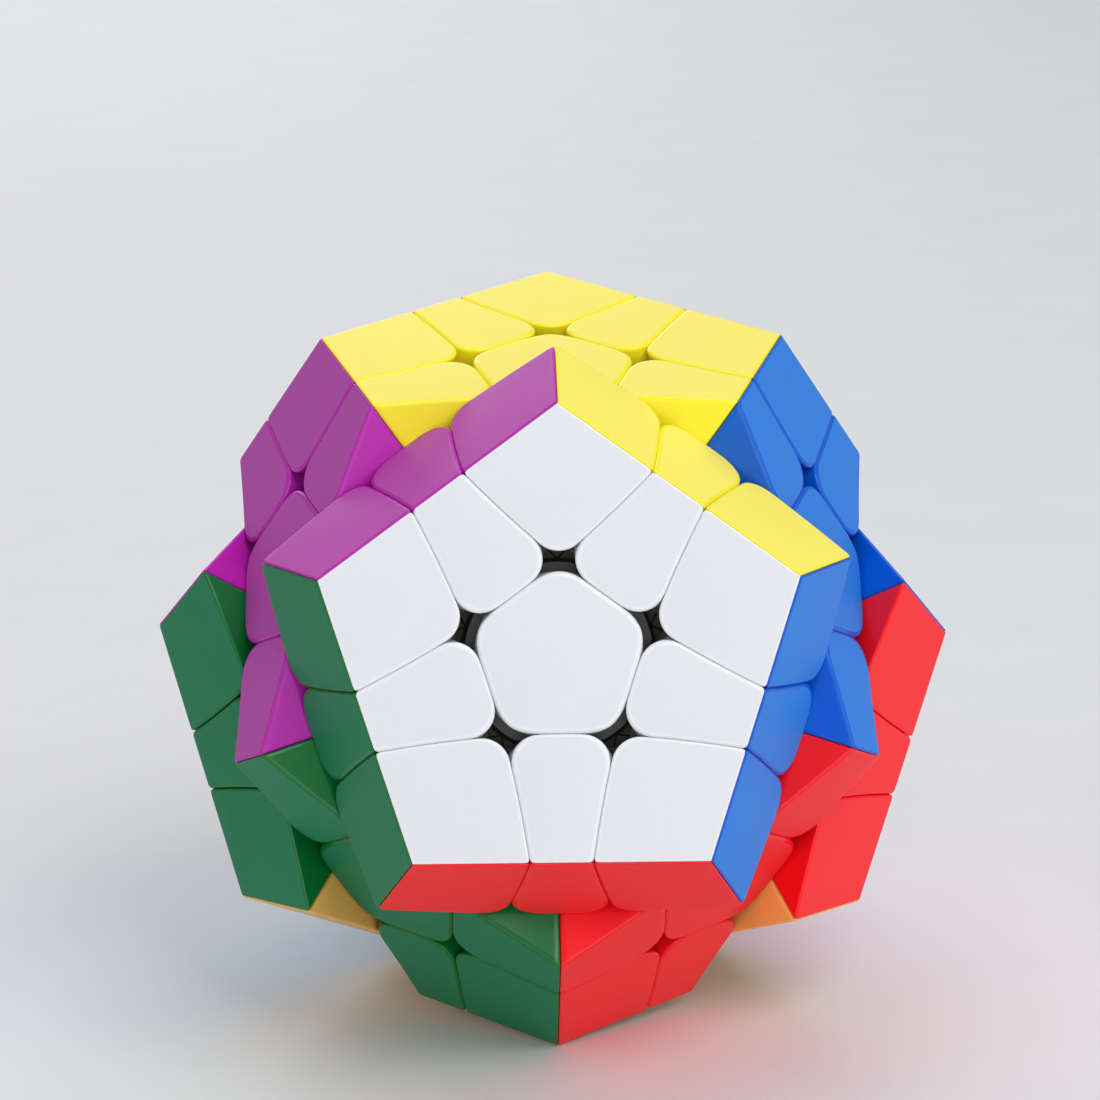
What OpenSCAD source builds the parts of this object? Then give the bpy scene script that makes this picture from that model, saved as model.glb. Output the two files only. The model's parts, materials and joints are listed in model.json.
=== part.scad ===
// Dodecahedron twisty puzzle, stickerless, standing on a table with three faces half turned.
// Twelve spring-loaded centres, thirty edge pieces and twenty corner pieces around a ball core.
// The puzzle is laid out about its centre, then tipped onto the three corners it stands on.

/* [Puzzle] */
// Length of one dodecahedron edge
edge_length = 31.4; // [24:0.1:45]
// Gap between neighbouring coloured shells where a layer slides
seam = 0.2; // [0.15:0.01:0.3]
// Gap between the shells of one piece, where two colours meet
joint_line = 0.04; // [0.02:0.01:0.1]

/* [Cuts] */
// Height of a layer cut on its own axis, as a share of the edge length
cut_start = 0.47; // [0.46:0.001:0.48]
// Rise of a layer cut for each unit away from its axis
cut_rise = 0.289; // [0.28:0.001:0.3]
// Radius where outer pieces give way to inner feet, as a share of the edge length
slide_radius = 0.923; // [0.91:0.001:0.93]
// Half angle of the inner cut that keeps the feet captive, in degrees
foot_angle = 47.4; // [46.5:0.1:48]

/* [Turned layers] */
// Turn of the white layer, in degrees about its outward axis
white_turn = -36; // [-180:0.5:180]
// Turn of the light blue layer, in degrees about its outward axis
light_blue_turn = 39; // [-180:0.5:180]
// Turn of the pink layer, in degrees about its outward axis
pink_turn = -35; // [-180:0.5:180]

/* [Shells] */
// Depth of a coloured shell below its face, as a share of the edge length
shell_depth = 0.255; // [0.24:0.005:0.265]
// Wall thickness of a coloured shell
shell_wall = 1.3; // [0.8:0.1:1.8]
// Depth of a centre cap below its face
cap_depth = 5.2; // [4.5:0.1:5.6]
// Radius that trims the points of a centre cap, as a share of the edge length
cap_trim = 0.287; // [0.28:0.001:0.295]
// Radius inside which the point of a corner shell is trimmed, as a share of the edge length
point_trim = 0.352; // [0.33:0.001:0.36]
// Width trimmed off the inner corners of an edge shell
corner_trim = 1.3; // [0.6:0.1:1.8]

/* [Mechanism] */
// Radius of the core ball
core_radius = 15.4; // [12:0.1:16]
// Radius of a core post
post_radius = 2.6; // [2.2:0.1:3]
// Running clearance of a centre on its post
post_clearance = 0.06; // [0.03:0.01:0.1]
// Height of the post tops above the puzzle centre
post_top = 20.2; // [19:0.1:21]
// Radius of the screw shank
screw_radius = 1.5; // [1.2:0.1:1.8]
// Radius of the spring pocket in a centre
pocket_radius = 4.1; // [3.8:0.1:4.4]
// Wire thickness of a spring
wire = 0.7; // [0.5:0.05:0.8]
// Free turns of a spring
spring_turns = 3.5; // [2.5:0.5:4]

/* [Hidden] */
$fn = 96;

s = edge_length;
golden = (1 + sqrt(5)) / 2;
// distance from the centre to a face, and half the angle between two faces
inradius = s * golden * golden / (2 * sqrt(3 - golden));
face_angle = atan(2);
half_angle = face_angle / 2;
tilt_to_vertex = acos(golden * golden / (sqrt(3) * sqrt(golden + 2)));
apothem = s / (2 * tan(36));
circumradius = s / (2 * sin(36));
cut_height = cut_start * s;
slide_r = slide_radius * s;
shell_t = shell_depth * s;
half_seam = seam / 2;
cut_slant = sqrt(1 + cut_rise * cut_rise);
big = 2.2 * s;
inner_end = core_radius + 1.2;
// a centre's wall: its lean, and its distance from the axis at the face
centre_lean = 90 - atan(cut_rise) - face_angle;
centre_side = (cut_height + inradius * (cut_rise * sin(face_angle) - cos(face_angle)))
    / (sin(face_angle) + cut_rise * cos(face_angle)) - half_seam;

// Faces: name, polar angle, azimuth, spin, colour
FACES = [
    ["yellow", 0, 18, 0, [0.93, 0.84, 0.20]],
    ["white", face_angle, -90, 0, [0.90, 0.91, 0.94]],
    ["blue", face_angle, -18, 0, [0.12, 0.40, 0.83]],
    ["light_green", face_angle, 54, 0, [0.45, 0.80, 0.25]],
    ["orange", face_angle, 126, 0, [0.95, 0.45, 0.10]],
    ["purple", face_angle, 198, 0, [0.62, 0.20, 0.60]],
    ["beige", 180, -18, 180, [0.88, 0.74, 0.50]],
    ["grey", 180 - face_angle, 90, 180, [0.50, 0.52, 0.54]],
    ["light_blue", 180 - face_angle, 162, 180, [0.40, 0.72, 0.88]],
    ["green", 180 - face_angle, -126, 180, [0.10, 0.44, 0.29]],
    ["red", 180 - face_angle, -54, 180, [0.88, 0.16, 0.17]],
    ["pink", 180 - face_angle, 18, 180, [0.95, 0.50, 0.68]]
];
YELLOW = 0;
WHITE = 1;
BLUE = 2;
LIGHT_GREEN = 3;
ORANGE = 4;
PURPLE = 5;
BEIGE = 6;
GREY = 7;
LIGHT_BLUE = 8;
GREEN = 9;
RED = 10;
PINK = 11;
// no face: the pieces that stay with the core
FIXED = -1;
STEEL = [0.72, 0.73, 0.75];
FOOT = [0.13, 0.14, 0.15];

function turn_of(layer) =
    layer == WHITE ? white_turn
    : layer == LIGHT_BLUE ? light_blue_turn
    : layer == PINK ? pink_turn
    : 0;

// rotations of a vector about Z and Y, and about any unit axis
function about_z(v, a) = [v.x * cos(a) - v.y * sin(a), v.x * sin(a) + v.y * cos(a), v.z];
function about_y(v, a) = [v.x * cos(a) + v.z * sin(a), v.y, v.z * cos(a) - v.x * sin(a)];
function about(v, n, a) = v * cos(a) + cross(n, v) * sin(a) + n * (n * v) * (1 - cos(a));
// a direction given in a face's own frame, seen in the puzzle's frame
function in_puzzle(f, v) =
    about_z(about_y(about_z(v, FACES[f][3]), FACES[f][1]), FACES[f][2]);
function normal_of(f) = in_puzzle(f, [0, 0, 1]);
// slot k of a face: edges at 180 + 72 k degrees, corners half a slot further
function slot_direction(f, k, half) =
    let (tilt = half ? tilt_to_vertex : half_angle)
    in_puzzle(f, about_z(about_y([0, 0, 1], tilt), slot_azimuth(k, half)));
function slot_azimuth(k, half) = 180 + 72 * k + (half ? 36 : 0);
function holds(layer, d) = normal_of(layer) * d > 0.75;
function owner(d) =
    holds(WHITE, d) ? WHITE
    : holds(LIGHT_BLUE, d) ? LIGHT_BLUE
    : holds(PINK, d) ? PINK
    : FIXED;

// Length of a turned layer's side edges, from the corner of its face down to its cut
side_edge = (inradius - cut_height - half_seam * cut_slant - cut_rise * circumradius)
    / (cos(half_angle) + cut_rise * sin(half_angle));

// A point down the side edge at corner slot k of a face, carried round by its layer
function corner_point(f, k, down) =
    let (layer = owner(slot_direction(f, k, true)))
    let (r = circumradius + down * sin(half_angle), h = inradius - down * cos(half_angle))
    let (p = in_puzzle(f, about_z([r, 0, h], slot_azimuth(k, true))))
    layer == FIXED ? p : about(p, normal_of(layer), turn_of(layer));
function lowest(points) =
    let (low = min([for (p = points) p.z]))
    [for (p = points) if (p.z <= low) p][0];

// The puzzle stands on its front fixed corner and on a side edge's end of two turned layers
front_support = lowest([
    for (k = [0:4])
        if (slot_direction(BEIGE, k, true).y < -0.6)
            corner_point(BEIGE, k, 0)
]);
left_support = lowest([for (k = [0:4]) corner_point(LIGHT_BLUE, k, side_edge)]);
right_support = lowest([for (k = [0:4]) corner_point(PINK, k, side_edge)]);
up_raw = cross(right_support - front_support, left_support - front_support);
up = up_raw / norm(up_raw);
stance_angle = acos(up.z);
stance_cross = cross(up, [0, 0, 1]);
stance_axis = stance_cross / norm(stance_cross);
centre_height = -(up * front_support);

// Middle of the standing puzzle's outline, which goes over the origin
outline = [
    for (f = [0:11], k = [0:4], down = [0, side_edge])
        if (down == 0 || owner(normal_of(f)) == f)
            about(corner_point(f, k, down), stance_axis, stance_angle)
];
middle_x = (min([for (p = outline) p.x]) + max([for (p = outline) p.x])) / 2;
middle_y = (min([for (p = outline) p.y]) + max([for (p = outline) p.y])) / 2;

module stand() {
    translate([-middle_x, -middle_y, centre_height])
        rotate(stance_angle, stance_axis)
            children();
}

module on_face(f) {
    rotate([0, FACES[f][1], FACES[f][2]])
        rotate([0, 0, FACES[f][3]])
            children();
}

module turned(layer) {
    if (layer == FIXED)
        children();
    else
        rotate(turn_of(layer), normal_of(layer))
            children();
}

// A neighbouring face's own frame, seen from the face on top
module toward_neighbour(azimuth) {
    rotate([0, face_angle, azimuth])
        children();
}

// Space outside the cut of the layer whose axis is Z; clear moves the cut towards the layer
module layer_space(clear) {
    low = cut_height + clear * cut_slant;
    rotate_extrude()
        polygon([[0, low], [big, low + cut_rise * big], [big, big + low], [0, big + low]]);
}

// Space within the inner cut of the layer whose axis is Z
module foot_space(clear) {
    low = clear / sin(foot_angle);
    rotate_extrude()
        polygon([[0, low], [big * sin(foot_angle), low + big * cos(foot_angle)], [0, low + big]]);
}

// The side of the plane between two faces that belongs to the face on top
module own_side(azimuth, clear) {
    rotate([0, half_angle, azimuth])
        translate([-big - clear, -big, -big])
            cube([big, 2 * big, 3 * big]);
}

module slab(bottom, top) {
    translate([0, 0, bottom])
        cylinder(h = top - bottom, r = 1.2 * s);
}

// Everything between two distances from the centre
module ball_zone(inner, outer) {
    difference() {
        sphere(r = outer);
        sphere(r = inner);
    }
}

// Solid block of an edge shell that lies towards +X; inset shrinks it on every side
module edge_block(inset, bottom, top) {
    inner_side = apothem - 0.434 * s;
    inner_half = 0.163 * s;
    difference() {
        intersection() {
            slab(bottom, top);
            own_side(0, joint_line / 2 + inset);
            toward_neighbour(0)
                layer_space(half_seam + inset);
            linear_extrude(height = big)
                polygon([
                    [inner_side - 1 + inset, inner_half - corner_trim - 2],
                    [inner_side + corner_trim * 0.45 + inset, inner_half - inset + 0.2],
                    [inner_side + corner_trim + 1 + inset, inner_half + 1],
                    [big, inner_half + 1],
                    [big, -inner_half - 1],
                    [inner_side + corner_trim + 1 + inset, -inner_half - 1],
                    [inner_side + corner_trim * 0.45 + inset, -inner_half + inset - 0.2],
                    [inner_side - 1 + inset, -inner_half + corner_trim + 2]
                ]);
        }
        for (side = [-72, 72])
            toward_neighbour(side)
                layer_space(-half_seam - inset);
        sphere(r = slide_r + half_seam);
    }
}

// Solid block of a corner shell whose vertex lies towards +X
module corner_block(inset, bottom, top) {
    difference() {
        intersection() {
            slab(bottom, top);
            toward_neighbour(-36)
                layer_space(half_seam + inset);
            toward_neighbour(36)
                layer_space(half_seam + inset);
        }
        for (side = [-36, 36])
            rotate([0, half_angle, side])
                translate([-joint_line / 2 - inset, -big, -big])
                    cube([2 * big, 2 * big, 3 * big]);
        cylinder(h = big, r = point_trim * s + inset);
    }
}

// Coloured shell of an edge piece: an open box under its face
module edge_shell() {
    difference() {
        edge_block(0, inradius - shell_t, inradius);
        edge_block(shell_wall, inradius - shell_t - 1, inradius - shell_wall);
    }
}

// Coloured shell of a corner piece
module corner_shell() {
    difference() {
        corner_block(0, inradius - shell_t, inradius);
        corner_block(shell_wall, inradius - shell_t - 1, inradius - shell_wall);
    }
}

// Five flat walls of a centre, which lean in along the cuts of its neighbours
module centre_walls() {
    difference() {
        children();
        for (k = [0:4])
            rotate([0, 0, 36 + 72 * k])
                translate([centre_side, 0, inradius])
                    rotate([0, -centre_lean, 0])
                        translate([0, -big / 2, -big])
                            cube([big, big, 2 * big]);
    }
}

// Radius that trims the points of a centre at one height
function centre_trim(height) = cap_trim * s + (inradius - height) * tan(centre_lean);

// Snap-in centre cap: a lid with a ring that grips the centre
module cap() {
    bottom = inradius - cap_depth;
    difference() {
        centre_walls()
            translate([0, 0, bottom])
                cylinder(h = cap_depth, r1 = centre_trim(bottom), r2 = centre_trim(inradius));
        translate([0, 0, bottom - 1])
            cylinder(h = cap_depth + 1 - shell_wall, r = pocket_radius + 1.4);
    }
}

// Centre piece: a bored hub with a spring pocket, wide under the cap and tapered inside
module centre() {
    bore = post_radius + post_clearance;
    floor_top = post_top + 1.2;
    grip = pocket_radius + 1.36;
    seat = inradius - cap_depth - joint_line;
    grip_top = inradius - shell_wall - 0.6;
    taper = tan(face_angle - foot_angle - 0.6);
    // the underside of the wide part is a cone that clears the feet sliding below it
    touch_r = 8;
    touch_h = sqrt(pow(slide_r + half_seam, 2) - touch_r * touch_r);
    fall = touch_r / touch_h;
    peak = touch_h + touch_r * fall;
    foot_r = peak * taper / (1 + fall * taper);
    flare = tan(centre_lean);
    rim_r = (centre_trim(peak)) / (1 - flare * fall);
    centre_walls()
        rotate_extrude()
            polygon([
                [bore, inner_end],
                [inner_end * taper, inner_end],
                [foot_r, peak - foot_r * fall],
                [rim_r, peak - rim_r * fall],
                [centre_trim(seat), seat],
                [grip, seat],
                [grip, grip_top],
                [pocket_radius, grip_top],
                [pocket_radius, floor_top],
                [bore, floor_top]
            ]);
}

// Foot of an edge piece whose shells lie towards +X and on top
module edge_foot() {
    base_top = inradius - shell_t - joint_line;
    clear = half_seam;
    union() {
        // base plate that closes both shells
        difference() {
            intersection() {
                slab(0, base_top);
                toward_neighbour(0)
                    slab(0, base_top);
                layer_space(clear);
                toward_neighbour(0)
                    layer_space(clear);
            }
            for (side = [-72, 72])
                toward_neighbour(side)
                    layer_space(-clear);
            sphere(r = slide_r + clear);
        }
        // neck through the sliding surface
        rotate([0, half_angle, 0])
            translate([0, 0, slide_r - 1.5])
                cylinder(h = 3, r = 0.11 * s);
        // captive foot
        difference() {
            intersection() {
                ball_zone(inner_end, slide_r - clear);
                foot_space(clear);
                toward_neighbour(0)
                    foot_space(clear);
            }
            for (side = [-72, 72])
                toward_neighbour(side)
                    foot_space(-clear);
        }
    }
}

// Foot of a corner piece whose vertex lies towards +X
module corner_foot() {
    base_top = inradius - shell_t - joint_line;
    clear = half_seam;
    union() {
        difference() {
            intersection() {
                slab(0, base_top);
                layer_space(clear);
                toward_neighbour(-36)
                    slab(0, base_top);
                toward_neighbour(-36)
                    layer_space(clear);
                toward_neighbour(36)
                    slab(0, base_top);
                toward_neighbour(36)
                    layer_space(clear);
            }
            sphere(r = slide_r + clear);
        }
        rotate([0, tilt_to_vertex, 0])
            translate([0, 0, slide_r - 1.5])
                cylinder(h = 3, r = 0.07 * s);
        intersection() {
            ball_zone(inner_end, slide_r - clear);
            foot_space(clear);
            toward_neighbour(-36)
                foot_space(clear);
            toward_neighbour(36)
                foot_space(clear);
        }
    }
}

// Coloured shells of one face that ride on one layer
module shells(f, layer, edges = true, corners = true) {
    color(FACES[f][4])
        stand()
            turned(layer)
                on_face(f)
                    for (k = [0:4]) {
                        if (edges && owner(slot_direction(f, k, false)) == layer)
                            rotate([0, 0, slot_azimuth(k, false)])
                                edge_shell();
                        if (corners && owner(slot_direction(f, k, true)) == layer)
                            rotate([0, 0, slot_azimuth(k, true)])
                                corner_shell();
                    }
}

module cap_of(f) {
    color(FACES[f][4])
        stand()
            turned(owner(normal_of(f)))
                on_face(f)
                    cap();
}

// Centres that ride on one layer, or all that stay with the core
module centres(layer) {
    color(FOOT)
        stand()
            turned(layer)
                for (f = [0:11])
                    if (owner(normal_of(f)) == layer)
                        on_face(f)
                            centre();
}

// A face carries the edge feet of its slots whose other face comes later in the list
function other_face(f, k) =
    let (d = slot_direction(f, k, false))
    [for (g = [0:11]) if (g != f && normal_of(g) * d > 0.8) g][0];
function corner_faces(f, k) =
    let (d = slot_direction(f, k, true))
    [for (g = [0:11]) if (normal_of(g) * d > 0.7) g];

module edge_feet(layer) {
    color(FOOT)
        stand()
            turned(layer)
                for (f = [0:11], k = [0:4])
                    if (other_face(f, k) > f && owner(slot_direction(f, k, false)) == layer)
                        on_face(f)
                            rotate([0, 0, slot_azimuth(k, false)])
                                edge_foot();
}

module corner_feet(layer) {
    color(FOOT)
        stand()
            turned(layer)
                for (f = [0:11], k = [0:4])
                    if (min(corner_faces(f, k)) == f && owner(slot_direction(f, k, true)) == layer)
                        on_face(f)
                            rotate([0, 0, slot_azimuth(k, true)])
                                corner_foot();
}

// Ball core with twelve threaded posts
module core() {
    color([0.85, 0.85, 0.83])
        stand()
            difference() {
                union() {
                    sphere(r = core_radius);
                    for (f = [0:11])
                        on_face(f)
                            translate([0, 0, 0.6 * core_radius])
                                cylinder(h = post_top - 0.6 * core_radius, r = post_radius);
                }
                for (f = [0:11])
                    on_face(f)
                        translate([0, 0, screw_tip - 0.5])
                            cylinder(h = big, r = screw_radius + 0.02);
            }
}

screw_tip = post_top - 9.5;
spring_seat = post_top + 1.25;
washer_bottom = spring_seat + 4.4;
washer_t = 0.5;
head_bottom = washer_bottom + washer_t + 0.02;
head_t = 1.8;
head_radius = 2.9;

// Tension screws with a cross recess
module screws() {
    color(STEEL)
        stand()
            for (f = [0:11])
                on_face(f)
                    difference() {
                        union() {
                            translate([0, 0, screw_tip])
                                cylinder(h = head_bottom - screw_tip, r = screw_radius);
                            translate([0, 0, head_bottom])
                                cylinder(h = head_t, r = head_radius);
                        }
                        for (a = [0, 90])
                            rotate([0, 0, a])
                                translate([-1.6, -0.35, head_bottom + 0.6])
                                    cube([3.2, 0.7, head_t]);
                    }
}

module washers() {
    color(STEEL * 0.9)
        stand()
            for (f = [0:11])
                on_face(f)
                    translate([0, 0, washer_bottom])
                        difference() {
                            cylinder(h = washer_t, r = 3.5);
                            translate([0, 0, -1])
                                cylinder(h = 3, r = screw_radius + 0.1);
                        }
}

// One coil spring as a swept wire from its seat up to the washer
module spring() {
    steps = 10 * spring_turns;
    coil = 3.1;
    sides = 4;
    rise = washer_bottom - spring_seat - wire - 0.1;
    low = spring_seat + wire / 2 + 0.05;
    points = [
        for (i = [0:steps], j = [0:sides - 1])
            let (a = 36 * i, b = 45 + 90 * j, r = coil + wire / sqrt(2) * cos(b))
            [r * cos(a), r * sin(a), low + rise * i / steps + wire / sqrt(2) * sin(b)]
    ];
    around = [
        for (i = [0:steps - 1], j = [0:sides - 1])
            let (a = i * sides + j, b = i * sides + (j + 1) % sides)
            [a, a + sides, b + sides, b]
    ];
    ends = [[0, 1, 2, 3], [for (j = [3:-1:0]) steps * sides + j]];
    polyhedron(points, concat(around, ends), convexity = 6);
}

module springs() {
    color(STEEL)
        stand()
            for (f = [0:11])
                on_face(f)
                    spring();
}

cap_of(YELLOW);  // yellow_cap
cap_of(WHITE);  // white_cap
cap_of(BLUE);  // blue_cap
cap_of(LIGHT_GREEN);  // light_green_cap
cap_of(ORANGE);  // orange_cap
cap_of(PURPLE);  // purple_cap
cap_of(BEIGE);  // beige_cap
cap_of(GREY);  // grey_cap
cap_of(LIGHT_BLUE);  // light_blue_cap
cap_of(GREEN);  // green_cap
cap_of(RED);  // red_cap
cap_of(PINK);  // pink_cap
shells(YELLOW, FIXED);  // yellow_shells
shells(BLUE, FIXED);  // blue_shells
shells(LIGHT_GREEN, FIXED);  // light_green_shells
shells(ORANGE, FIXED);  // orange_shells
shells(PURPLE, FIXED);  // purple_shells
shells(BEIGE, FIXED);  // beige_shells
shells(GREY, FIXED);  // grey_shells
shells(GREEN, FIXED);  // green_shells
shells(RED, FIXED);  // red_shells
shells(WHITE, WHITE, corners = false);  // white_layer_edge_shells
shells(WHITE, WHITE, edges = false);  // white_layer_corner_shells
shells(YELLOW, WHITE);  // white_layer_yellow_strip
shells(BLUE, WHITE);  // white_layer_blue_strip
shells(RED, WHITE);  // white_layer_red_strip
shells(GREEN, WHITE);  // white_layer_green_strip
shells(PURPLE, WHITE);  // white_layer_purple_strip
shells(LIGHT_BLUE, LIGHT_BLUE, corners = false);  // light_blue_layer_edge_shells
shells(LIGHT_BLUE, LIGHT_BLUE, edges = false);  // light_blue_layer_corner_shells
shells(PURPLE, LIGHT_BLUE);  // light_blue_layer_purple_strip
shells(GREEN, LIGHT_BLUE);  // light_blue_layer_green_strip
shells(BEIGE, LIGHT_BLUE);  // light_blue_layer_beige_strip
shells(GREY, LIGHT_BLUE);  // light_blue_layer_grey_strip
shells(ORANGE, LIGHT_BLUE);  // light_blue_layer_orange_strip
shells(PINK, PINK, corners = false);  // pink_layer_edge_shells
shells(PINK, PINK, edges = false);  // pink_layer_corner_shells
shells(BLUE, PINK);  // pink_layer_blue_strip
shells(LIGHT_GREEN, PINK);  // pink_layer_light_green_strip
shells(GREY, PINK);  // pink_layer_grey_strip
shells(BEIGE, PINK);  // pink_layer_beige_strip
shells(RED, PINK);  // pink_layer_red_strip
core();
screws();
washers();
springs();
centres(FIXED);  // fixed_centres
centres(WHITE);  // white_centre
centres(LIGHT_BLUE);  // light_blue_centre
centres(PINK);  // pink_centre
edge_feet(FIXED);  // fixed_edge_feet
edge_feet(WHITE);  // white_layer_edge_feet
edge_feet(LIGHT_BLUE);  // light_blue_layer_edge_feet
edge_feet(PINK);  // pink_layer_edge_feet
corner_feet(FIXED);  // fixed_corner_feet
corner_feet(WHITE);  // white_layer_corner_feet
corner_feet(LIGHT_BLUE);  // light_blue_layer_corner_feet
corner_feet(PINK);  // pink_layer_corner_feet
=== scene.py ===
import json
import math

import bpy
import numpy as np
from mathutils import Matrix, Vector


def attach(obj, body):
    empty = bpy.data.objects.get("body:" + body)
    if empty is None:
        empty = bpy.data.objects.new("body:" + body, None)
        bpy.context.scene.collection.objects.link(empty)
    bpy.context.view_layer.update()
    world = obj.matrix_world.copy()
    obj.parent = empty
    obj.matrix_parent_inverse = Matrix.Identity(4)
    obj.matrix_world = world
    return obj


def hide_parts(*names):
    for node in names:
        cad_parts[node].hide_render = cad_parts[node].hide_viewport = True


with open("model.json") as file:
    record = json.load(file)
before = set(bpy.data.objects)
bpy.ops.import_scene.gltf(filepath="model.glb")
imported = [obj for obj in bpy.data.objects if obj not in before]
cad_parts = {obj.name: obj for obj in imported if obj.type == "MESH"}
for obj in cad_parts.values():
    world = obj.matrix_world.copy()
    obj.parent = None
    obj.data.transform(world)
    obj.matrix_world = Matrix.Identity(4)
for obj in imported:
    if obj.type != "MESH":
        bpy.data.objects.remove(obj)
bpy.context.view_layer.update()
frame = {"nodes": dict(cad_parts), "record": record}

# Every visible shell and cap is rebuilt here from the puzzle's own cuts, with rounded edges, and
# stands for its CAD node. The inner parts keep their CAD shapes and get materials only.

# ---------------------------------------------------------------- sizes, in mm
EDGE = 31.4
MM_PER_METRE = 1000

# The layer cut is a cone about a face's axis: its height on the axis, and its rise away from it
CUT_HEIGHT = 0.47 * EDGE
CUT_RISE = 0.289
CUT_SLANT = math.sqrt(1 + CUT_RISE ** 2)
# half of the gap that is left between two neighbouring shells
HALF_GAP = 0.012
SHELL_DEPTH = 7.0
CAP_DEPTH = 5.2

# Rounding between a shell's top and a wall: at the next colour, at a layer cut, on a cap
CRISP = 0.28
SOFT = 0.34
RIM = 0.45
# Rounding of a shell's corners, seen from above: at an edge of the face, at the inner end of an
# edge shell, at the point of a corner shell, and where two sides of a cap meet
OUTER_CORNER = 0.35
EDGE_SHELL_CORNER = 3.6
CORNER_SHELL_POINT = 2.4
CAP_CORNER = 1.2
# how far a cap's blunted points reach, and how softly they run into its sides
CAP_REACH = 8.97
CAP_BLEND = 1.0
# where the points of a cap would lie if they were not blunted
CAP_POINT = 10.2

# ---------------------------------------------------------------- the dodecahedron
# FIFTH, HALF_FIFTH, FACES and TURNS are in degrees, the other angles in radians
FIFTH = 72
HALF_FIFTH = FIFTH / 2
GOLDEN = (1 + math.sqrt(5)) / 2
# distance of a face from the centre, and of a vertex from its face's middle
INRADIUS = EDGE * GOLDEN ** 2 / (2 * math.sqrt(3 - GOLDEN))
CIRCUMRADIUS = EDGE / (2 * math.sin(math.radians(HALF_FIFTH)))
# angles of a face's axis to the next face's, to the middle of an edge and to a vertex
FACE_ANGLE = math.atan(2)
HALF_ANGLE = FACE_ANGLE / 2
VERTEX_TILT = math.atan2(CIRCUMRADIUS, INRADIUS)

# Each face's tilt from the upright axis, its direction about that axis and its own spin
FACE_TILT = math.degrees(FACE_ANGLE)
FACES = {"yellow": (0, 18, 0)}
for step, name in enumerate(("white", "blue", "light_green", "orange", "purple")):
    FACES[name] = (FACE_TILT, -90 + FIFTH * step, 0)
FACES["beige"] = (180, -18, 180)
for step, name in enumerate(("grey", "light_blue", "green", "red", "pink")):
    FACES[name] = (180 - FACE_TILT, 90 + FIFTH * step, 180)

# How far the three turned layers stand from their aligned place
TURNS = {"white": -36.0, "light_blue": 39.0, "pink": -35.0}
# cosine of an angle from the layer's axis that lies between its own pieces and all others
LAYER_LIMIT = 0.75


def turn_z(degrees):
    return np.array(Matrix.Rotation(math.radians(degrees), 3, "Z"))


def face_matrix(face):
    tilt, direction, spin = FACES[face]
    tip = np.array(Matrix.Rotation(math.radians(tilt), 3, "Y"))
    return turn_z(direction) @ tip @ turn_z(spin)


NORMALS = {face: face_matrix(face)[:, 2] for face in FACES}
JOINTS = {joint["name"]: joint for joint in frame["record"]["behaviour"]["joints"]}
CENTRE = np.array(JOINTS["white_layer_turn"]["pos_m"])


def stance_matrix():
    """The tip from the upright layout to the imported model, from the axes of its three joints."""
    packed = np.array([JOINTS[layer + "_layer_turn"]["axis"] for layer in TURNS]).T
    upright = np.array([NORMALS[layer] for layer in TURNS]).T
    left, _, right = np.linalg.svd(packed @ np.linalg.inv(upright))
    return left @ right


STANCE = stance_matrix()


def layer_matrix(layer):
    if layer is None:
        return np.eye(3)
    return np.array(Matrix.Rotation(math.radians(TURNS[layer]), 3, Vector(NORMALS[layer])))


def layer_of(direction):
    """The turned layer that holds the piece in this direction, or None for the fixed part."""
    for layer in TURNS:
        if NORMALS[layer] @ direction > LAYER_LIMIT:
            return layer
    return None


def body_of(layer):
    return "core_and_fixed_pieces" if layer is None else layer + "_layer"


# ---------------------------------------------------------------- walls, as signed distances
# All shapes are laid out about the axis of their own face, and are negative inside
INSIDE = 1
OUTSIDE = -1


def layer_cut(azimuth, side):
    """The wall of a piece that lies inside or outside the layer of a neighbouring face."""
    a = math.radians(azimuth)
    axis = np.array([math.sin(FACE_ANGLE) * math.cos(a), math.sin(FACE_ANGLE) * math.sin(a),
                     math.cos(FACE_ANGLE)])

    def distance(p):
        height = p @ axis
        away = np.linalg.norm(p - height[..., None] * axis, axis=-1)
        return side * (CUT_HEIGHT + CUT_RISE * away - height) / CUT_SLANT + HALF_GAP
    return distance


def own_side(azimuth):
    """The wall through an edge of the face, where the next colour begins."""
    a = math.radians(azimuth)
    outward = np.array([math.cos(HALF_ANGLE) * math.cos(a), math.cos(HALF_ANGLE) * math.sin(a),
                        -math.sin(HALF_ANGLE)])

    def distance(p):
        return p @ outward + HALF_GAP
    return distance


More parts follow.
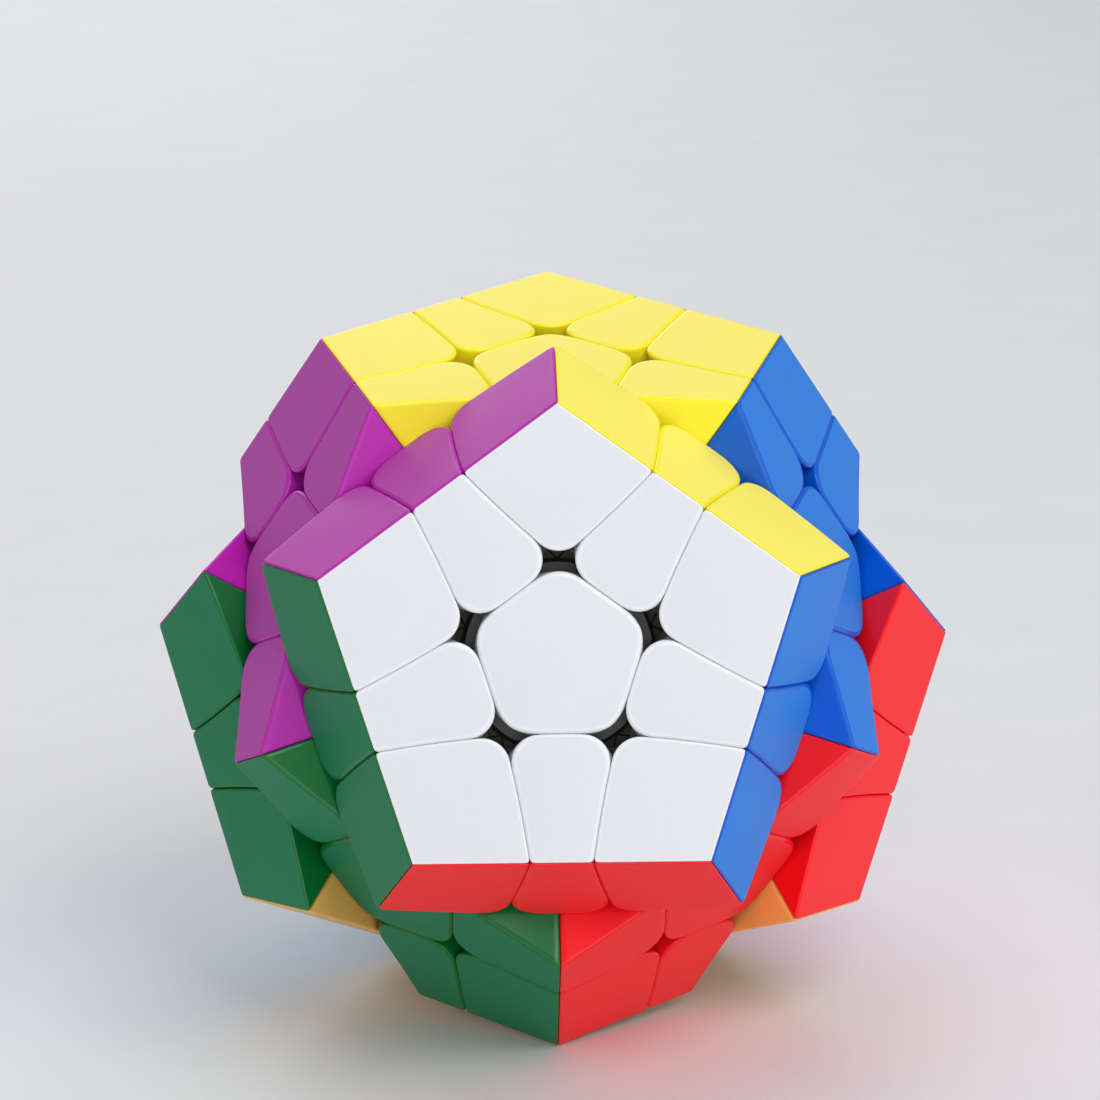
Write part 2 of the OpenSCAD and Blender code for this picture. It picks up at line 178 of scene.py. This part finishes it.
# Each shape: walls in turn round its middle with their top rounding, the rounding of the
# corner after each wall, roughly where those corners lie, the shape's middle and its depth
SHAPES = {
    "edge": {
        "walls": [(own_side(0), CRISP), (layer_cut(FIFTH, OUTSIDE), SOFT),
                  (layer_cut(0, INSIDE), SOFT), (layer_cut(-FIFTH, OUTSIDE), SOFT)],
        "corners": [OUTER_CORNER, EDGE_SHELL_CORNER, EDGE_SHELL_CORNER, OUTER_CORNER],
        "starts": [(21.5, 3.5), (8.2, 5.2), (8.2, -5.2), (21.5, -3.5)],
        "middle": (15.6, 0.0),
        "depth": SHELL_DEPTH,
    },
    "corner": {
        "walls": [(own_side(HALF_FIFTH), CRISP), (layer_cut(-HALF_FIFTH, INSIDE), SOFT),
                  (layer_cut(HALF_FIFTH, INSIDE), SOFT), (own_side(-HALF_FIFTH), CRISP)],
        "corners": [OUTER_CORNER, CORNER_SHELL_POINT, OUTER_CORNER, 0.0],
        "starts": [(23.0, -8.0), (10.4, 0.0), (23.0, 8.0), (26.7, 0.0)],
        "middle": (19.0, 0.0),
        "depth": SHELL_DEPTH,
    },
    "cap": {
        "walls": [(layer_cut(HALF_FIFTH + FIFTH * k, OUTSIDE), RIM) for k in range(5)],
        "corners": [CAP_CORNER] * 5,
        "starts": [(CAP_POINT * math.cos(math.radians(FIFTH + FIFTH * k)),
                    CAP_POINT * math.sin(math.radians(FIFTH + FIFTH * k))) for k in range(5)],
        "middle": (0.0, 0.0),
        "depth": CAP_DEPTH,
        "reach": CAP_REACH,
    },
}

# ---------------------------------------------------------------- shapes, as stacks of rings
# rings up the straight part of a wall, which ends this many roundings below the top
WALL_LEVELS = 6
ROUNDINGS_BELOW_TOP = 1.9
# rings over the rounding, and the last ones at and just below the top, where it is nearly flat
ROUND_LEVELS = 7
LAST_LEVELS = (0.08, 0.035, 0.01, 0.0)
POINTS_PER_SIDE = 22
# search for an outline: farthest that it may lie from a shape's middle, and halvings of that
FARTHEST = 22.0
HALVINGS = 48
# search for a corner: Newton steps, and the small move that measures the slopes
NEWTON_STEPS = 30
SMALL_MOVE = 1e-4
# material slots of a piece: flat outer face, walls and rounded edges
FACE_SLOT = 0
WALL_SLOT = 1


def inset_at(rounding, height):
    """How far a wall has drawn in at this height, because of its rounding at the top."""
    over = max(0.0, height - (INRADIUS - rounding))
    return rounding - math.sqrt(max(0.0, rounding ** 2 - over ** 2))


def corner_between(walls, i, j, height, insets, guess):
    """Where two walls meet at one height, by Newton's method."""
    def both(q):
        p = np.array([[q[0], q[1], height]])
        return np.array([walls[i][0](p)[0] + insets[i], walls[j][0](p)[0] + insets[j]])

    corner = np.array(guess, float)
    for _ in range(NEWTON_STEPS):
        here = both(corner)
        slope_x = (both(corner + [SMALL_MOVE, 0]) - here) / SMALL_MOVE
        slope_y = (both(corner + [0, SMALL_MOVE]) - here) / SMALL_MOVE
        corner = corner - np.linalg.solve(np.column_stack([slope_x, slope_y]), here)
    return corner


def ring_directions(corners, middle):
    """Unit vectors from the middle, closer together near the corners."""
    angles = [math.atan2(*(corner - middle)[::-1]) for corner in corners]
    directions = []
    for k, start in enumerate(angles):
        end = angles[(k + 1) % len(angles)]
        if end <= start:
            end += 2 * math.pi
        for i in range(POINTS_PER_SIDE):
            share = 0.5 - 0.5 * math.cos(math.pi * i / POINTS_PER_SIDE)
            directions.append(start + (end - start) * share)
    return np.column_stack([np.cos(directions), np.sin(directions)])


def ring(shape, height, guesses):
    """The outline of a shape at one height, and the corners that its walls make there."""
    walls, roundings = shape["walls"], shape["corners"]
    count = len(walls)
    insets = [inset_at(rounding, height) for _, rounding in walls]
    middle = np.array(shape["middle"])
    corners = [corner_between(walls, k, (k + 1) % count, height, insets, guesses[k])
               for k in range(count)]
    way = ring_directions(corners, middle)

    def field(radius):
        q = middle + way * radius[:, None]
        p = np.column_stack([q, np.full(len(q), height)])
        d = [wall(p) + inset for (wall, _), inset in zip(walls, insets)]
        worst = np.max(d, axis=0)
        for k, r in enumerate(roundings):
            if r > 0:
                a, b = d[k], d[(k + 1) % count]
                rounded = np.hypot(np.maximum(a + r, 0), np.maximum(b + r, 0))
                worst = np.maximum(worst, np.minimum(-r, np.maximum(a, b)) + rounded)
        if "reach" in shape:
            blunt = np.hypot(q[:, 0], q[:, 1]) - shape["reach"] + insets[0]
            near = np.maximum(0, CAP_BLEND - np.abs(worst - blunt)) / CAP_BLEND
            worst = np.maximum(worst, blunt) + near ** 2 * CAP_BLEND / 4
        return worst

    low, high = np.zeros(len(way)), np.full(len(way), FARTHEST)
    for _ in range(HALVINGS):
        mid = (low + high) / 2
        out = field(mid) > 0
        high = np.where(out, mid, high)
        low = np.where(out, low, mid)
    q = middle + way * low[:, None]
    return np.column_stack([q, np.full(len(q), height)]), corners


def ring_heights(shape):
    """Heights of a shape's rings above the puzzle's centre, from its foot to its top."""
    round_top = max(rounding for _, rounding in shape["walls"])
    foot = INRADIUS - shape["depth"]
    straight = INRADIUS - round_top * ROUNDINGS_BELOW_TOP
    heights = [foot + (straight - foot) * i / WALL_LEVELS for i in range(WALL_LEVELS + 1)]
    heights += [INRADIUS - round_top * (1 - math.sin(math.pi / 2 * i / ROUND_LEVELS))
                for i in range(ROUND_LEVELS)]
    heights += [INRADIUS - below for below in LAST_LEVELS]
    return sorted(set(round(h, 5) for h in heights))


def build_shape(shape):
    """Points, faces and material slots of one shape: walls, rounded over, and a flat top."""
    guesses = shape["starts"]
    rings = []
    # from the top down, since the search for a ring's corners starts at those of the last one
    for height in ring_heights(shape)[::-1]:
        loop, guesses = ring(shape, height, guesses)
        rings.append(loop)
    rings = rings[::-1]
    n = len(rings[0])
    faces, slots = [], []
    for level in range(len(rings) - 1):
        low, high = level * n, (level + 1) * n
        for i in range(n):
            j = (i + 1) % n
            faces.append((low + i, low + j, high + j, high + i))
            slots.append(WALL_SLOT)
    top = (len(rings) - 1) * n
    faces.append(tuple(top + i for i in range(n)))
    slots.append(FACE_SLOT)
    faces.append(tuple(range(n))[::-1])
    slots.append(WALL_SLOT)
    return np.vstack(rings), faces, slots


BUILT = {name: build_shape(shape) for name, shape in SHAPES.items()}

# ---------------------------------------------------------------- materials
# mottling: noise scale and detail, and how far it moves the tint and the roughness
CLOUD_SCALE = 60
CLOUD_DETAIL = 3
TINT_CHANGE = 0.03
SMOOTHER = 0.04
ROUGHER = 0.05
# surface grain: noise detail, and the height of its bumps in metres
GRAIN_DETAIL = 2
GRAIN_HEIGHT = 0.00004
PLASTIC_IOR = 1.5


def srgb(r, g, b):
    def linear(c):
        c /= 255
        return c / 12.92 if c <= 0.04045 else ((c + 0.055) / 1.055) ** 2.4
    return (linear(r), linear(g), linear(b))


def plastic(name, colour, rough, grain, bump, specular=0.5):
    """Moulded plastic: slight mottling in tint and gloss, and a fine surface grain."""
    material = bpy.data.materials.new(name)
    material.use_nodes = True
    nodes, links = material.node_tree.nodes, material.node_tree.links
    shader = nodes["Principled BSDF"]
    place = nodes.new("ShaderNodeTexCoord")
    cloud = nodes.new("ShaderNodeTexNoise")
    cloud.inputs["Scale"].default_value = CLOUD_SCALE
    cloud.inputs["Detail"].default_value = CLOUD_DETAIL
    links.new(place.outputs["Object"], cloud.inputs["Vector"])
    tint = nodes.new("ShaderNodeMix")
    tint.data_type = "RGBA"
    darker = [c * (1 - TINT_CHANGE) for c in colour]
    lighter = [min(1, c * (1 + TINT_CHANGE)) for c in colour]
    tint.inputs["A"].default_value = (*darker, 1)
    tint.inputs["B"].default_value = (*lighter, 1)
    links.new(cloud.outputs["Fac"], tint.inputs["Factor"])
    links.new(tint.outputs["Result"], shader.inputs["Base Color"])
    gloss = nodes.new("ShaderNodeMapRange")
    gloss.inputs["To Min"].default_value = rough - SMOOTHER
    gloss.inputs["To Max"].default_value = rough + ROUGHER
    links.new(cloud.outputs["Fac"], gloss.inputs["Value"])
    links.new(gloss.outputs["Result"], shader.inputs["Roughness"])
    fine = nodes.new("ShaderNodeTexNoise")
    fine.inputs["Scale"].default_value = grain
    fine.inputs["Detail"].default_value = GRAIN_DETAIL
    links.new(place.outputs["Object"], fine.inputs["Vector"])
    relief = nodes.new("ShaderNodeBump")
    relief.inputs["Strength"].default_value = bump
    relief.inputs["Distance"].default_value = GRAIN_HEIGHT
    links.new(fine.outputs["Fac"], relief.inputs["Height"])
    links.new(relief.outputs["Normal"], shader.inputs["Normal"])
    shader.inputs["IOR"].default_value = PLASTIC_IOR
    shader.inputs["Specular IOR Level"].default_value = specular
    return material


# the matt outer faces, and the glossier walls that slide on each other
FACE_FINISH = {"rough": 0.5, "grain": 6000, "bump": 0.5, "specular": 0.25}
WALL_FINISH = {"rough": 0.21, "grain": 3000, "bump": 0.12, "specular": 0.38}
# outer face colour, wall colour: the wall colour is the same plastic painted more saturated (the
# white one lighter), a painted glow and sheen standing in for light through the plastic on the
# walls and rounded edges
COLOURS_WITH_PAINTED_WALL_GLOW = {
    "yellow": (srgb(250, 236, 102), srgb(253, 238, 42)),
    "white": (srgb(225, 226, 232), srgb(234, 235, 238)),
    "blue": (srgb(48, 128, 222), srgb(2, 92, 208)),
    "light_green": (srgb(122, 196, 70), srgb(105, 190, 50)),
    "orange": (srgb(246, 130, 40), srgb(245, 115, 20)),
    "purple": (srgb(187, 78, 173), srgb(188, 36, 175)),
    "beige": (srgb(240, 196, 120), srgb(246, 188, 100)),
    "grey": (srgb(128, 132, 138), srgb(110, 114, 120)),
    "light_blue": (srgb(110, 185, 225), srgb(90, 175, 225)),
    "green": (srgb(30, 126, 83), srgb(4, 112, 48)),
    "red": (srgb(252, 48, 52), srgb(250, 20, 30)),
    "pink": (srgb(240, 130, 175), srgb(240, 110, 165)),
}
SKINS = {}
# each tone's wall material takes the wall colour, with its painted glow and sheen
for tone, (face_colour, wall_colour_with_painted_glow) in COLOURS_WITH_PAINTED_WALL_GLOW.items():
    SKINS[tone] = (plastic(tone + "_face", face_colour, **FACE_FINISH),
                   plastic(tone + "_wall_painted_glow", wall_colour_with_painted_glow, **WALL_FINISH))
DARK = plastic("dark_nylon", srgb(50, 54, 48), 0.42, 4000, 0.25)
FEET = plastic("dark_nylon_feet", srgb(112, 108, 98), 0.42, 4000, 0.25)
NYLON = plastic("natural_nylon", srgb(214, 213, 206), 0.45, 4000, 0.2)
STEEL = plastic("plated_steel", srgb(196, 197, 200), 0.28, 6000, 0.2)
STEEL.node_tree.nodes["Principled BSDF"].inputs["Metallic"].default_value = 1.0

# the inner nodes; the others are replaced further down
for node_name, obj in frame["nodes"].items():
    if node_name in ("screws", "washers", "springs"):
        chosen = STEEL
    elif node_name == "core":
        chosen = NYLON
    elif node_name.endswith("_feet"):
        chosen = FEET
    elif "centre" in node_name:
        chosen = DARK
    else:
        continue
    obj.data.materials.clear()
    obj.data.materials.append(chosen)

# ---------------------------------------------------------------- shells and caps
# polygons that meet at more than this angle are shaded with a sharp edge
SHARP_ANGLE = math.radians(50)


def placed(points, layer, face, azimuth):
    """Points of a shape, from its face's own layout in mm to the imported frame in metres."""
    turn = STANCE @ layer_matrix(layer) @ face_matrix(face) @ turn_z(azimuth)
    return points @ turn.T / MM_PER_METRE + CENTRE


def make_piece(name, node, face, body, parts):
    """One object from (shape, layer, azimuth) triples, standing for one CAD node."""
    verts, faces, slots = [], [], []
    for shape, layer, azimuth in parts:
        points, polygons, polygon_slots = BUILT[shape]
        start = len(verts)
        verts.extend(map(tuple, placed(points, layer, face, azimuth)))
        faces.extend(tuple(start + i for i in polygon) for polygon in polygons)
        slots.extend(polygon_slots)
    mesh = bpy.data.meshes.new(name)
    mesh.from_pydata(verts, [], faces)
    for skin in SKINS[face]:
        mesh.materials.append(skin)
    mesh.polygons.foreach_set("material_index", slots)
    mesh.polygons.foreach_set("use_smooth", [True] * len(faces))
    mesh.update()
    mesh.set_sharp_from_angle(angle=SHARP_ANGLE)
    obj = bpy.data.objects.new(name, mesh)
    bpy.context.collection.objects.link(obj)
    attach(obj, body)
    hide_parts(node)


def shell_node(face, layer, shape):
    """The CAD node that holds the shells of one colour that ride on one layer."""
    if layer is None:
        return face + "_shells"
    if layer == face:
        return layer + "_layer_" + shape + "_shells"
    return layer + "_layer_" + face + "_strip"


for face in FACES:
    own_layer = layer_of(NORMALS[face])
    make_piece(face + "_cap_shape", face + "_cap", face, body_of(own_layer),
               [("cap", own_layer, 0)])
    groups = {}
    for k in range(5):
        for shape, tilt, offset in (("edge", HALF_ANGLE, 0), ("corner", VERTEX_TILT, HALF_FIFTH)):
            azimuth = 180 + FIFTH * k + offset
            outward = np.array([math.sin(tilt), 0, math.cos(tilt)])
            layer = layer_of(face_matrix(face) @ turn_z(azimuth) @ outward)
            group = groups.setdefault((shell_node(face, layer, shape), layer), [])
            group.append((shape, layer, azimuth))
    for (node, layer), parts in groups.items():
        make_piece(node + "_shape", node, face, body_of(layer), parts)

# ---------------------------------------------------------------- floor, camera, light, in metres
FLOOR_SIZE = 24
PAPER = (0.78, 0.78, 0.79)
# sensor width and focal length in mm
SENSOR = 36
LENS = 156.07
CLIP_START = 0.05
CAMERA_PLACE = (-0.0062, -0.5123, 0.18784)
# from the puzzle towards the camera, and roughly upwards in the picture
CAMERA_BACK = Vector((-0.01168, -0.96613, 0.25779)).normalized()
CAMERA_UP = Vector((0.03658, 0.25722, 0.96566))
# name, place, height of the point above the origin that it aims at, its two sides, watts
SOFT_BOXES = (
    ("key", (0.35, -0.55, 0.75), 0.04, (0.6, 0.5), 3.8),
    ("fill", (-0.7, -0.5, 0.35), 0.04, (0.6, 0.6), 0.8),
    ("top", (0.0, 0.25, 0.9), 0.04, (0.7, 0.7), 2.4),
    ("low", (0.15, -1.5, 0.32), 0.03, (1.2, 0.6), 5.0),
    ("right", (0.8, -0.3, 0.22), 0.04, (0.5, 0.5), 1.0),
    ("back", (-0.2, 0.95, 0.45), 0.04, (0.6, 0.5), 2.2),
)
SKY_COLOUR = (0.9, 0.93, 1.0, 1)
SKY_STRENGTH = 0.3

bpy.ops.mesh.primitive_plane_add(size=FLOOR_SIZE, location=(0, 0, 0))
floor = bpy.context.object
floor.name = "studio_floor"
floor.data.materials.append(plastic("studio_paper", PAPER, 0.7, 800, 0.1))

camera_data = bpy.data.cameras.new("camera")
camera = bpy.data.objects.new("camera", camera_data)
bpy.context.collection.objects.link(camera)
camera_data.sensor_width = SENSOR
camera_data.lens = LENS
camera_data.clip_start = CLIP_START
camera_right = CAMERA_UP.cross(CAMERA_BACK).normalized()
camera_up = CAMERA_BACK.cross(camera_right)
camera_pose = Matrix((camera_right, camera_up, CAMERA_BACK)).transposed().to_4x4()
camera_pose.translation = CAMERA_PLACE
camera.matrix_world = camera_pose
bpy.context.scene.camera = camera

for name, place, aim_height, sides, power in SOFT_BOXES:
    lamp = bpy.data.lights.new(name, "AREA")
    lamp.shape = "RECTANGLE"
    lamp.size, lamp.size_y = sides
    lamp.energy = power
    obj = bpy.data.objects.new(name, lamp)
    bpy.context.collection.objects.link(obj)
    obj.location = place
    aim = Vector((0, 0, aim_height)) - Vector(place)
    obj.rotation_euler = aim.to_track_quat("-Z", "Y").to_euler()

world = bpy.data.worlds.new("studio")
bpy.context.scene.world = world
world.use_nodes = True
sky = world.node_tree.nodes["Background"]
sky.inputs["Color"].default_value = SKY_COLOUR
sky.inputs["Strength"].default_value = SKY_STRENGTH
bpy.context.scene.view_settings.view_transform = "Standard"
